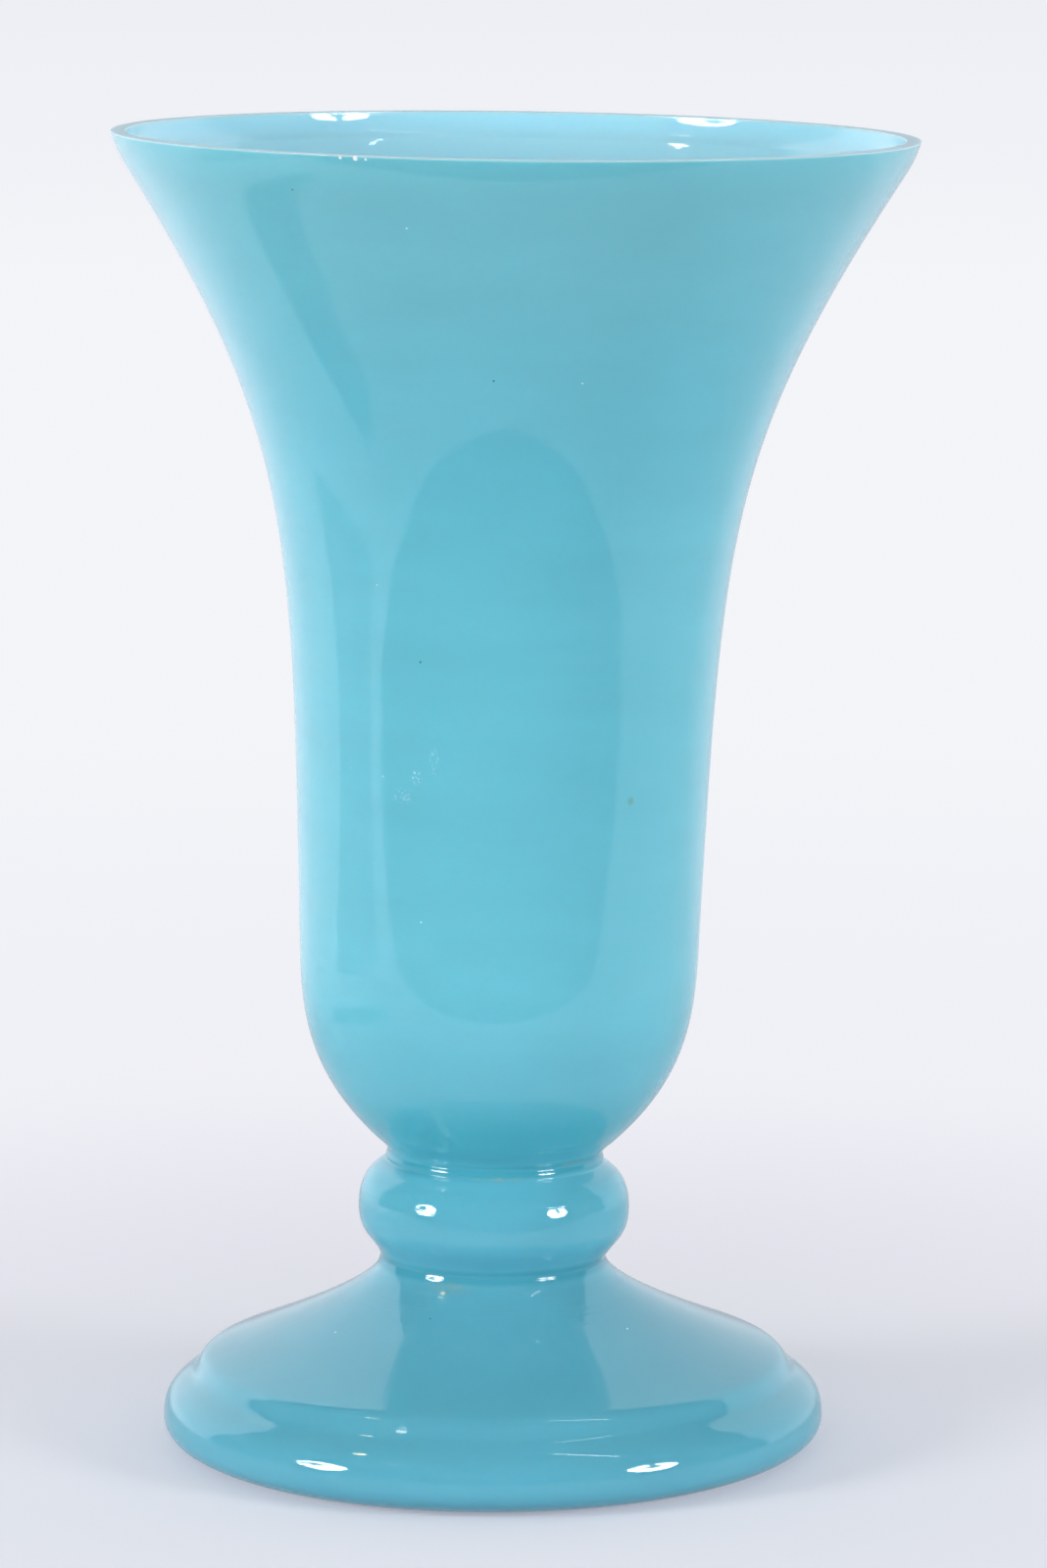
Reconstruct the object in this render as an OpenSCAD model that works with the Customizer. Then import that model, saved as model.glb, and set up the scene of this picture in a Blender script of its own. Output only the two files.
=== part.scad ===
// Opaline vase: a trumpet bowl, a joining wafer, a knop and a domed foot, fused face to face.
// The origin is on the table, under the middle of the foot. +Z is up and the front faces -Y.
// The stem and the bowl share one axis, which leans a little towards +X from the foot's joint.

/* [Overall] */
// Height from the table to the middle of the rim
total_height = 300; // [260:1:400]
// Lean of the knop, wafer and bowl towards +X, in degrees
stem_lean = 1.2; // [0:0.1:3]

/* [Foot] */
// Widest diameter of the foot, at its rounded lip
foot_diameter = 151.4; // [130:0.2:170]
// Height of the joint between foot and knop
foot_height = 43.5; // [38:0.5:60]
// Diameter of the foot's neck at that joint
neck_diameter = 51.8; // [51.4:0.2:60]
// Height of the lip's widest point above the table
lip_height = 6.9; // [5:0.1:9]
// Width of the lip's top, from its widest point in to the valley
lip_width = 6.7; // [5:0.1:9]
// Rise from the lip's widest point to the valley
lip_rise = 9.8; // [7:0.1:12]
// Width of the short steeper face between the valley and the dome's shoulder
step_width = 1.6; // [1:0.1:3]
// Rise of that face
step_rise = 2.8; // [2:0.1:4]
// Slope of that face, in degrees below level
step_slope = 57; // [45:1:75]
// Slope of the valley, in degrees below level
valley_slope = 30; // [15:1:40]
// Width of the dome's rounded shoulder
shoulder_width = 4.5; // [3:0.1:6]
// Rise of the dome's rounded shoulder
shoulder_rise = 2.8; // [2:0.1:4]
// Slope of the dome just above its shoulder, in degrees below level
dome_slope = 21.8; // [18:0.2:26]
// How far the flat ring that the foot stands on lies inside the lip's widest point
ring_inset = 14.2; // [8:0.1:18]
// Width of that flat ring
ring_width = 4; // [2:0.1:6]
// Thickness of the glass under the dome
dome_wall = 4.5; // [3.5:0.1:6]
// Thickness of the solid glass between the hollow and the joint above it
neck_floor = 10; // [6:0.5:14]

/* [Knop] */
// Height of the knop between its two joints
knop_height = 22.4; // [18:0.2:30]
// Widest diameter of the knop
knop_diameter = 62; // [56:0.2:75]
// Height of the knop's widest point above its lower joint
knop_middle = 11.7; // [9:0.1:14]
// Diameter of the knop at its lower crease
knop_bottom_diameter = 51.2; // [44:0.2:51.2]
// Diameter of the knop at its upper crease
knop_top_diameter = 50; // [44:0.2:54]

/* [Joining wafer] */
// Thickness of the wafer
wafer_height = 1.9; // [1.2:0.1:4]
// Diameter of the wafer at its flat faces
wafer_diameter = 49.2; // [44:0.2:54]

/* [Bowl] */
// Diameter of the bowl where it meets the wafer
base_diameter = 48.8; // [44:0.2:54]
// Width of the fillet round the bowl's base
fillet_width = 3.2; // [2:0.1:5]
// Height of that fillet
fillet_height = 3.9; // [3:0.1:5]
// Diameter of the bowl's nearly straight middle, at its lower end
body_diameter = 91.2; // [80:0.2:105]
// Height of the lower end of the middle above the bowl's base
body_height = 49.9; // [40:0.1:60]
// Angle of the middle's side above level, in degrees
body_angle = 88.1; // [86:0.1:90]
// Outer diameter of the rim
rim_diameter = 181.4; // [150:0.2:220]
// Height of the rim's polished outer edge
rim_edge_height = 8; // [4:0.5:12]
// How far the bowl widens over that height
rim_edge_width = 3.6; // [1.5:0.1:5]
// Angle of the flare just below the rim's edge, in degrees above level
flare_angle = 57.7; // [50:0.1:64]
// Angle of the polished edge at the very rim, in degrees above level
rim_angle = 80; // [70:1:90]
// Width of the rim's flat ground top
rim_width = 3.5; // [2.5:0.1:5]
// Thickness of the wall at the lower end of the rim's polished edge
flare_wall = 3.3; // [2.4:0.1:4.5]
// Thickness of the wall at the lower end of the bowl's straight middle
bowl_wall = 4.2; // [3:0.1:6]
// Thickness of the glass at the bottom of the bowl
bowl_floor = 10; // [6:0.5:14]

/* [Hidden] */
$fn = 96;
glass_colour = "mediumturquoise";

// Directions in a piece's outline
up = 90;
down = -90;
inward = 180;
// Directions in which the outlines leave their creases and the ground ring, in degrees above level
knop_bottom_angle = 70;
knop_top_angle = 145;
wafer_edge_angle = 30;
fillet_angle = 43;
ring_inside_angle = 100;
crown_angle = 170;

// Points on each stretch of an outline, from the smallest curves to the bowl's long side
short_steps = 5;
middle_steps = 8;
long_steps = 16;
longest_steps = 24;

// Reach of each curve's two handles, as shares of the straight line between its ends
neck_shares = [0.16, 0.21];
shoulder_shares = [0.65, 0.33];
step_shares = [0.43, 0.15];
lip_top_shares = [0.54, 0.44];
lip_bottom_shares = [0.38, 0.29];
ring_inside_shares = [0.45, 0.25];
roof_shares = [0.4, 0.16];
knop_lower_shares = [0.39, 0.53];
knop_upper_shares = [0.65, 0.14];
wafer_edge_shares = [0.34, 0.34];
fillet_shares = [0.31, 0.16];
belly_shares = [0.46, 0.33];
flare_shares = [0.516, 0.4];
rim_edge_shares = [0.46, 0.18];
rim_inside_shares = [0.18, 0.46];
flare_inside_shares = [0.4, 0.5];
bowl_floor_shares = [0.46, 0.52];

// The bowl takes what is left of the leaning height above the foot
stem_length = (total_height - foot_height) / cos(stem_lean);
bowl_base = knop_height + wafer_height;
bowl_height = stem_length - bowl_base;
// The knop's root passes through the level joint plane, which cuts it flush with the foot's neck
knop_root = knop_height / 10;

// A point on a curve that leaves p0 along angle a0 and arrives at p1 along angle a1.
// h0 and h1 are the lengths of the handles that shape the curve at its two ends.
function curve_point(p0, a0, h0, p1, a1, h1, t) =
    let (q0 = p0 + h0 * [cos(a0), sin(a0)])
    let (q1 = p1 - h1 * [cos(a1), sin(a1)])
    pow(1 - t, 3) * p0 + 3 * pow(1 - t, 2) * t * q0 + 3 * (1 - t) * pow(t, 2) * q1 + pow(t, 3) * p1;

// The same curve as a list of points, without its first one
function curve(p0, a0, p1, a1, shares, steps) =
    let (span = norm(p1 - p0))
    [for (i = [1 : steps]) curve_point(p0, a0, shares[0] * span, p1, a1, shares[1] * span, i / steps)];

// The stem's own frame: its zero is the middle of the joint on top of the foot
module on_stem() {
    translate([0, 0, foot_height])
        rotate([0, stem_lean, 0])
            children();
}

// Foot: the outside runs from the neck down to the table, the inside back up to the middle
module foot() {
    neck = [neck_diameter / 2, foot_height];
    lip = [foot_diameter / 2, lip_height];
    valley = lip + [-lip_width, lip_rise];
    step = valley + [-step_width, step_rise];
    shoulder = step + [-shoulder_width, shoulder_rise];
    ring_outside = [lip.x - ring_inset, 0];
    ring_inside = [ring_outside.x - ring_width, 0];
    hollow_middle = [0, foot_height - neck_floor];
    roof_foot = shoulder - dome_wall * [1 + sin(dome_slope), cos(dome_slope)];
    roof_crown = hollow_middle + [neck.x / 2, -dome_wall / 3];
    outside = concat(
        [neck],
        curve(neck, down, shoulder, -dome_slope, neck_shares, long_steps),
        curve(shoulder, -dome_slope, step, -step_slope, shoulder_shares, short_steps),
        curve(step, -step_slope, valley, -valley_slope, step_shares, short_steps),
        curve(valley, -valley_slope, lip, down, lip_top_shares, middle_steps),
        curve(lip, down, ring_outside, -inward, lip_bottom_shares, middle_steps));
    roof_angle = inward - dome_slope;
    inside = concat(
        [ring_inside],
        curve(ring_inside, ring_inside_angle, roof_foot, roof_angle, ring_inside_shares, middle_steps),
        curve(roof_foot, roof_angle, roof_crown, crown_angle, roof_shares, middle_steps),
        [hollow_middle]);
    color(glass_colour)
        rotate_extrude()
            polygon(concat([[0, foot_height]], outside, inside));
}

// Knop: solid ball, flat at both joints
module knop() {
    root = [knop_bottom_diameter / 2, -knop_root];
    bottom = [knop_bottom_diameter / 2, 0];
    middle = [knop_diameter / 2, knop_middle];
    top = [knop_top_diameter / 2, knop_height];
    color(glass_colour)
        difference() {
            on_stem()
                rotate_extrude()
                    polygon(concat(
                        [[0, root.y], root, bottom],
                        curve(bottom, knop_bottom_angle, middle, up, knop_lower_shares, middle_steps),
                        curve(middle, up, top, knop_top_angle, knop_upper_shares, middle_steps),
                        [[0, top.y]]));
            translate([0, 0, foot_height / 2])
                cylinder(h = foot_height / 2, d = foot_diameter);
        }
}

// Joining wafer: thin disc with a rounded edge
module joining_wafer() {
    low = [wafer_diameter / 2, knop_height];
    high = [wafer_diameter / 2, bowl_base];
    return_angle = inward - wafer_edge_angle;
    edge = curve(low, wafer_edge_angle, high, return_angle, wafer_edge_shares, short_steps);
    color(glass_colour)
        on_stem()
            rotate_extrude()
                polygon(concat([[0, low.y], low], edge, [[0, high.y]]));
}

// Bowl: the outside runs from the base up to the rim, the inside back down to the middle
module bowl() {
    base = [base_diameter / 2, 0];
    fillet = base + [fillet_width, fillet_height];
    body = [body_diameter / 2, body_height];
    rim = [rim_diameter / 2, bowl_height];
    flare = rim - [rim_edge_width, rim_edge_height];
    rim_inside = rim - [rim_width, 0];
    flare_inside = flare + flare_wall * [-sin(flare_angle), cos(flare_angle)];
    body_inside = body - [bowl_wall, 0];
    floor_middle = [0, bowl_floor];
    outside = concat(
        [base],
        curve(base, up, fillet, fillet_angle, fillet_shares, short_steps),
        curve(fillet, fillet_angle, body, body_angle, belly_shares, long_steps),
        curve(body, body_angle, flare, flare_angle, flare_shares, longest_steps),
        curve(flare, flare_angle, rim, rim_angle, rim_edge_shares, short_steps));
    rim_back = inward + rim_angle;
    flare_back = inward + flare_angle;
    body_back = inward + body_angle;
    inside = concat(
        [rim_inside],
        curve(rim_inside, rim_back, flare_inside, flare_back, rim_inside_shares, short_steps),
        curve(flare_inside, flare_back, body_inside, body_back, flare_inside_shares, longest_steps),
        curve(body_inside, body_back, floor_middle, inward, bowl_floor_shares, long_steps));
    color(glass_colour)
        on_stem()
            translate([0, 0, bowl_base])
                rotate_extrude()
                    polygon(concat([[0, 0]], outside, inside));
}

foot();
knop();
joining_wafer();
bowl();
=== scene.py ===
import math

import bpy
import numpy as np
from mathutils import Matrix, Quaternion, Vector


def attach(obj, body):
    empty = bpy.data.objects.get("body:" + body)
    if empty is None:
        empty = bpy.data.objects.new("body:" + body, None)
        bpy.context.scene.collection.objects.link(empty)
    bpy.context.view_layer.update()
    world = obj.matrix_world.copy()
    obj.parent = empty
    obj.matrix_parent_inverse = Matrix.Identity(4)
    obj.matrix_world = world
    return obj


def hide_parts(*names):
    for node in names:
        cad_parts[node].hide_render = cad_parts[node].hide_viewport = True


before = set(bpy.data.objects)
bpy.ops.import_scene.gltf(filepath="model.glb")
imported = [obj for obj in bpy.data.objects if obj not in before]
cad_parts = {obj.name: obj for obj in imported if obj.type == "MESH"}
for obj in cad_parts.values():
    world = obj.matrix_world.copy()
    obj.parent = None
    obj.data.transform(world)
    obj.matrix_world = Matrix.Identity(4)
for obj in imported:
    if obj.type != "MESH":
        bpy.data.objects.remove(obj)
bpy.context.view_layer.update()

# The sizes of the CAD source, in millimetres and degrees. Slopes are measured down from level, angles up
MM = 0.001
TOTAL_HEIGHT = 300.0
STEM_LEAN = math.radians(1.2)

# Foot
FOOT_DIAMETER = 151.4
FOOT_HEIGHT = 43.5
NECK_DIAMETER = 51.8
LIP_HEIGHT = 6.9
LIP_WIDTH = 6.7
LIP_RISE = 9.8
STEP_WIDTH = 1.6
STEP_RISE = 2.8
STEP_SLOPE = 57.0
VALLEY_SLOPE = 30.0
SHOULDER_WIDTH = 4.5
SHOULDER_RISE = 2.8
DOME_SLOPE = 21.8
DOME_WALL = 4.5
NECK_FLOOR = 10.0
CROWN_ANGLE = 170.0
RING_INSET = 14.2
RING_WIDTH = 4.0
RING_INSIDE_ANGLE = 100.0

# Knop
KNOP_HEIGHT = 22.4
KNOP_DIAMETER = 62.0
KNOP_MIDDLE = 11.7
KNOP_BOTTOM_DIAMETER = 51.2
KNOP_BOTTOM_ANGLE = 70.0
KNOP_TOP_DIAMETER = 50.0
KNOP_TOP_ANGLE = 145.0

# Joining wafer
WAFER_HEIGHT = 1.9
WAFER_DIAMETER = 49.2
WAFER_EDGE_ANGLE = 30.0

# Bowl
BASE_DIAMETER = 48.8
FILLET_WIDTH = 3.2
FILLET_HEIGHT = 3.9
FILLET_ANGLE = 43.0
BODY_DIAMETER = 91.2
BODY_HEIGHT = 49.9
BODY_ANGLE = 88.1
RIM_DIAMETER = 181.4
RIM_EDGE_HEIGHT = 8.0
RIM_EDGE_WIDTH = 3.6
FLARE_ANGLE = 57.7
RIM_ANGLE = 80.0
RIM_WIDTH = 3.5
FLARE_WALL = 3.3
BOWL_WALL = 4.2
BOWL_FLOOR = 10.0
# The rim's inner edge is steeper here than in the CAD source
RIM_INSIDE_ANGLE = 87.0

STEM_LENGTH = (TOTAL_HEIGHT - FOOT_HEIGHT) / math.cos(STEM_LEAN)
BOWL_BASE = KNOP_HEIGHT + WAFER_HEIGHT

# Directions in an outline
OUTWARD = 0.0
UP = 90.0
INWARD = 180.0

# Reach of each curve's two handles, as shares of the straight line between its ends
LIP_BOTTOM_SHARES = (0.29, 0.38)
LIP_TOP_SHARES = (0.35, 0.54)
STEP_SHARES = (0.15, 0.43)
SHOULDER_SHARES = (0.33, 0.65)
NECK_SHARES = (0.21, 0.16)
RING_INSIDE_SHARES = (0.45, 0.25)
ROOF_SHARES = (0.4, 0.16)
CROWN_SHARES = (0.3, 0.3)
KNOP_LOWER_SHARES = (0.39, 0.53)
KNOP_UPPER_SHARES = (0.65, 0.14)
WAFER_EDGE_SHARES = (0.34, 0.34)
FILLET_SHARES = (0.31, 0.16)
BELLY_SHARES = (0.46, 0.33)
FLARE_SHARES = (0.516, 0.4)
RIM_EDGE_SHARES = (0.46, 0.18)
RIM_INSIDE_SHARES = (0.68, 0.15)
FLARE_INSIDE_SHARES = (0.4, 0.5)
BOWL_FLOOR_SHARES = (0.46, 0.52)

# How finely the outlines are drawn, in millimetres where it is a length
CURVE_STEPS = 60
FINE_PITCH = 0.08
LONGEST_EDGE = 2.2
MOST_BEND = math.radians(4.0)
TURNS = 224


def heading(angle):
    """The direction at this angle above level."""
    return np.array([math.cos(math.radians(angle)), math.sin(math.radians(angle))])


def curve(start, leaving, end, arriving, shares):
    """A smooth stretch of outline with these directions at its ends, without its first point."""
    start, end = np.array(start, float), np.array(end, float)
    span = np.linalg.norm(end - start)
    first_handle = start + shares[0] * span * heading(leaving)
    last_handle = end - shares[1] * span * heading(arriving)
    t = np.linspace(0, 1, CURVE_STEPS + 1)[1:, None]
    handles = 3 * (1 - t) ** 2 * t * first_handle + 3 * (1 - t) * t**2 * last_handle
    return (1 - t) ** 3 * start + handles + t**3 * end


def joined(*parts):
    """One outline of these points and stretches."""
    return np.vstack([np.atleast_2d(np.array(part, float)) for part in parts])


def evenly(line, pitch):
    """The same line with points a pitch apart."""
    lengths = np.r_[0, np.cumsum(np.linalg.norm(np.diff(line, axis=0), axis=1))]
    at = np.linspace(0, lengths[-1], max(2, round(lengths[-1] / pitch) + 1))
    return np.c_[np.interp(at, lengths, line[:, 0]), np.interp(at, lengths, line[:, 1])]


def eased(x):
    """Rises smoothly from 0 to 1 as x does, and is level before and after."""
    x = np.clip(x, 0, 1)
    return x * x * (3 - 2 * x)


# The smoothing looks this many reaches to each side, and it fades out over this share of a span
SMOOTHING_REACHES = 4
FADE_SHARE = 0.6


def softened(line, reach, where):
    """The line with its corners melted over a reach, as far as where() says, from 0 to 1."""
    pitch = np.linalg.norm(np.diff(line, axis=0), axis=1).mean()
    half = int(SMOOTHING_REACHES * reach / pitch)
    weights = np.exp(-0.5 * (np.arange(-half, half + 1) * pitch / reach) ** 2)
    weights /= weights.sum()
    before = 2 * line[0] - line[half:0:-1]
    after = 2 * line[-1] - line[-2 : -half - 2 : -1]
    longer = np.vstack([before, line, after])
    smooth = np.stack([np.convolve(longer[:, i], weights, "valid") for i in (0, 1)], axis=1)
    share = where(line)[:, None]
    return line * (1 - share) + smooth * share


def thinned(line):
    """Keeps the points that the shape needs: close together in bends, far apart where it is straighter."""
    steps = np.diff(line, axis=0)
    lengths = np.linalg.norm(steps, axis=1)
    turns = np.arctan2(steps[:, 1], steps[:, 0])
    bends = np.abs(np.angle(np.exp(1j * np.diff(turns))))
    kept, length, bend = [0], 0.0, 0.0
    for i in range(1, len(line) - 1):
        length += lengths[i - 1]
        bend += bends[i - 1]
        if length + lengths[i] > LONGEST_EDGE or bend > MOST_BEND:
            kept.append(i)
            length, bend = 0.0, 0.0
    return line[kept + [len(line) - 1]]


# Points of an outline are a radius and a height. Heights are measured from the joint on top of the foot:
# below it they are the foot's, and above it they run along the leaning stem. The foot's outside runs up
# from its ground ring
neck = (NECK_DIAMETER / 2, 0.0)
lip = (FOOT_DIAMETER / 2, LIP_HEIGHT - FOOT_HEIGHT)
valley = (lip[0] - LIP_WIDTH, lip[1] + LIP_RISE)
step = (valley[0] - STEP_WIDTH, valley[1] + STEP_RISE)
shoulder = (step[0] - SHOULDER_WIDTH, step[1] + SHOULDER_RISE)
ring_outside = (lip[0] - RING_INSET, -FOOT_HEIGHT)
ring_inside = (ring_outside[0] - RING_WIDTH, -FOOT_HEIGHT)
foot_outside = joined(
    ring_outside,
    curve(ring_outside, OUTWARD, lip, UP, LIP_BOTTOM_SHARES),
    curve(lip, UP, valley, INWARD - VALLEY_SLOPE, LIP_TOP_SHARES),
    curve(valley, INWARD - VALLEY_SLOPE, step, INWARD - STEP_SLOPE, STEP_SHARES),
    curve(step, INWARD - STEP_SLOPE, shoulder, INWARD - DOME_SLOPE, SHOULDER_SHARES),
    curve(shoulder, INWARD - DOME_SLOPE, neck, UP, NECK_SHARES),
)

# The hollow under the foot runs from the ground ring up to its middle
hollow_middle = (0.0, -NECK_FLOOR)
dome = math.radians(DOME_SLOPE)
roof_foot = (shoulder[0] - DOME_WALL * (1 + math.sin(dome)), shoulder[1] - DOME_WALL * math.cos(dome))
roof_crown = (neck[0] / 2, hollow_middle[1] - DOME_WALL / 3)
foot_inside = joined(
    ring_inside,
    curve(ring_inside, RING_INSIDE_ANGLE, roof_foot, INWARD - DOME_SLOPE, RING_INSIDE_SHARES),
    curve(roof_foot, INWARD - DOME_SLOPE, roof_crown, CROWN_ANGLE, ROOF_SHARES),
    curve(roof_crown, CROWN_ANGLE, hollow_middle, INWARD, CROWN_SHARES),
)

# The outside of the knop, the wafer and the bowl runs up to the rim
knop_bottom = (KNOP_BOTTOM_DIAMETER / 2, 0.0)
knop_widest = (KNOP_DIAMETER / 2, KNOP_MIDDLE)
knop_top = (KNOP_TOP_DIAMETER / 2, KNOP_HEIGHT)
wafer_low = (WAFER_DIAMETER / 2, KNOP_HEIGHT)
wafer_high = (WAFER_DIAMETER / 2, BOWL_BASE)
bowl_base = (BASE_DIAMETER / 2, BOWL_BASE)
fillet = (bowl_base[0] + FILLET_WIDTH, bowl_base[1] + FILLET_HEIGHT)
body = (BODY_DIAMETER / 2, BOWL_BASE + BODY_HEIGHT)
rim = (RIM_DIAMETER / 2, STEM_LENGTH)
flare = (rim[0] - RIM_EDGE_WIDTH, rim[1] - RIM_EDGE_HEIGHT)
stem_outside = joined(
    knop_bottom,
    curve(knop_bottom, KNOP_BOTTOM_ANGLE, knop_widest, UP, KNOP_LOWER_SHARES),
    curve(knop_widest, UP, knop_top, KNOP_TOP_ANGLE, KNOP_UPPER_SHARES),
    wafer_low,
    curve(wafer_low, WAFER_EDGE_ANGLE, wafer_high, INWARD - WAFER_EDGE_ANGLE, WAFER_EDGE_SHARES),
    bowl_base,
    curve(bowl_base, UP, fillet, FILLET_ANGLE, FILLET_SHARES),
    curve(fillet, FILLET_ANGLE, body, BODY_ANGLE, BELLY_SHARES),
    curve(body, BODY_ANGLE, flare, FLARE_ANGLE, FLARE_SHARES),
    curve(flare, FLARE_ANGLE, rim, RIM_ANGLE, RIM_EDGE_SHARES),
)

# The inside of the bowl runs from the rim down to its middle
rim_inside = (rim[0] - RIM_WIDTH, rim[1])
flare_side = math.radians(FLARE_ANGLE)
flare_inside = (flare[0] - FLARE_WALL * math.sin(flare_side), flare[1] + FLARE_WALL * math.cos(flare_side))
body_inside = (body[0] - BOWL_WALL, body[1])
floor_middle = (0.0, BOWL_BASE + BOWL_FLOOR)
rim_back = INWARD + RIM_INSIDE_ANGLE
flare_back = INWARD + FLARE_ANGLE
body_back = INWARD + BODY_ANGLE
bowl_inside = joined(
    rim_inside,
    curve(rim_inside, rim_back, flare_inside, flare_back, RIM_INSIDE_SHARES),
    curve(flare_inside, flare_back, body_inside, body_back, FLARE_INSIDE_SHARES),
    curve(body_inside, body_back, floor_middle, INWARD, BOWL_FLOOR_SHARES),
)

# The glass was soft when the pieces were joined, so the creases at the joints are rounded, and the shallow
# step round the foot's edge is a soft swell. The two edges of the rim's flat top are slightly rounded
CREASES = (0.0, KNOP_HEIGHT, BOWL_BASE)
CREASE_REACH = 0.55
CREASE_SPAN = 3.2
STEP_REACH = 1.1
STEP_SPAN = 9.0
RIM_EDGE_REACH = 0.12
RIM_EDGE_SPAN = 0.6


def fading(off, span):
    """1 near the place, falling smoothly to 0 where the distance reaches the span."""
    return eased((span - off) / (FADE_SHARE * span))


def distance(line, point):
    return np.hypot(line[:, 0] - point[0], line[:, 1] - point[1])


def near_a_crease(line):
    off = np.min([np.abs(line[:, 1] - height) for height in CREASES], axis=0)
    return fading(off, CREASE_SPAN)


def near_the_step(line):
    middle = (np.array(valley) + np.array(shoulder)) / 2
    return fading(distance(line, middle), STEP_SPAN)


def near_a_rim_edge(line):
    off = np.minimum(distance(line, rim), distance(line, rim_inside))
    return fading(off, RIM_EDGE_SPAN)


skin = evenly(joined(foot_outside, stem_outside, bowl_inside), FINE_PITCH)
skin = softened(skin, CREASE_REACH, near_a_crease)
skin = softened(skin, STEP_REACH, near_the_step)
skin = softened(skin, RIM_EDGE_REACH, near_a_rim_edge)


def crossing(height):
    """Where the skin, followed up from the table, first reaches this height: its index and its point."""
    i = int(np.argmax(skin[:, 1] >= height))
    below, above = skin[i - 1], skin[i]
    return i, below + (above - below) * (height - below[1]) / (above[1] - below[1])


def stretch(low=None, high=None):
    """The skin between two joints, or from its start or to its end, with the points that it needs."""
    first, start = (0, skin[:1]) if low is None else crossing(low)
    last, end = (len(skin), skin[-1:]) if high is None else crossing(high)
    return thinned(joined(start, skin[first:last], end))


# The lean grows over this height, with the foot's joint at its middle
LEAN_SPAN = 5.0
# The rim was ground slightly out of square with the stem, and the tilt fades out over this depth
RIM_TILT = math.radians(0.4)
RIM_TILT_DEPTH = 55.0


def place(radius, height, turn):
    """Where a point of the outline lies in the world, at this turn round the axis."""
    lean = STEM_LEAN * eased(height / LEAN_SPAN + 0.5)
    across = radius * np.cos(turn)
    x = across * np.cos(lean) + height * np.sin(lean)
    z = FOOT_HEIGHT - across * np.sin(lean) + height * np.cos(lean)
    return np.stack([x * MM, radius * np.sin(turn) * MM, z * MM], axis=-1)


def tilted(radius, height, turn, tilt):
    """The heights with the rim tilted."""
    share = eased((height - STEM_LENGTH + RIM_TILT_DEPTH) / RIM_TILT_DEPTH)
    return height + share * math.tan(tilt) * radius * np.cos(turn)


def added(name, data):
    """A new object in the scene."""
    made = bpy.data.objects.new(name, data)
    bpy.context.scene.collection.objects.link(made)
    return made


def revolve(name, outline, rim_tilt=0.0, marks=()):
    """A closed glass piece from an outline that starts and ends on the axis and has the glass on its left.

    Its two ends are flat, so that they don't tilt the shading of the sides at the joints. Each mark is an
    attribute's name with its values along the outline.
    """
    sides = outline[1:-1]
    rows = len(sides)
    radius = np.repeat(sides[:, :1], TURNS, 1)
    height = np.repeat(sides[:, 1:], TURNS, 1)
    turn = np.repeat(np.linspace(0, 2 * math.pi, TURNS, endpoint=False)[None, :], rows, 0)
    rings = place(radius, tilted(radius, height, turn, rim_tilt), turn).reshape(-1, 3)
    ends = [place(np.zeros(1), outline[i, 1:], np.zeros(1)) for i in (0, -1)]
    verts = np.vstack([rings, *ends])
    first, last = rows * TURNS, rows * TURNS + 1
    top = (rows - 1) * TURNS
    around = [(j, (j + 1) % TURNS) for j in range(TURNS)]
    faces = [(i + j, i + k, i + TURNS + k, i + TURNS + j) for i in range(0, top, TURNS) for j, k in around]
    side_faces = len(faces)
    for j, k in around:
        faces += [(first, k, j), (last, top + j, top + k)]
    end_faces = len(faces) - side_faces
    mesh = bpy.data.meshes.new(name)
    mesh.from_pydata([tuple(v) for v in verts], [], faces)
    mesh.validate()
    mesh.update()
    mesh.shade_smooth()
    mesh.polygons.foreach_set("use_smooth", [True] * side_faces + [False] * end_faces)
    for mark, values in marks:
        layer = mesh.attributes.new(mark, "FLOAT", "POINT")
        along = np.repeat(values[1:-1], TURNS)
        layer.data.foreach_set("value", np.r_[along, values[0], values[-1]].astype(np.float32))
    return added(name, mesh)


# Foot, knop and joining wafer
foot_roof = thinned(foot_inside[-2:0:-1])
foot_line = joined(hollow_middle, foot_roof, ring_inside, stretch(high=0.0), (0.0, 0.0))
foot_piece = revolve("foot_glass", foot_line)
knop_line = joined((0.0, 0.0), stretch(0.0, KNOP_HEIGHT), (0.0, KNOP_HEIGHT))
knop_piece = revolve("knop_glass", knop_line)
wafer_line = joined((0.0, KNOP_HEIGHT), stretch(KNOP_HEIGHT, BOWL_BASE), (0.0, BOWL_BASE))
wafer_piece = revolve("wafer_glass", wafer_line)

# Bowl. Marks on it tell its material where its inside is, and where the rim's top is ground, which reaches
# this far from the middle of the top and this deep
GROUND_SPAN = 0.75 * RIM_WIDTH
GROUND_DEPTH = 0.4
bowl_line = joined((0.0, BOWL_BASE), stretch(low=BOWL_BASE), floor_middle)
is_inside = np.arange(len(bowl_line)) >= np.argmin(distance(bowl_line, rim_inside))
from_top_middle = np.abs(bowl_line[:, 0] - (rim[0] - RIM_WIDTH / 2))
is_ground = fading(from_top_middle, GROUND_SPAN) * (bowl_line[:, 1] > STEM_LENGTH - GROUND_DEPTH)
bowl_marks = (("inside", is_inside.astype(float)), ("ground", is_ground))
bowl_piece = revolve("bowl_glass", bowl_line, RIM_TILT, bowl_marks)


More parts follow.
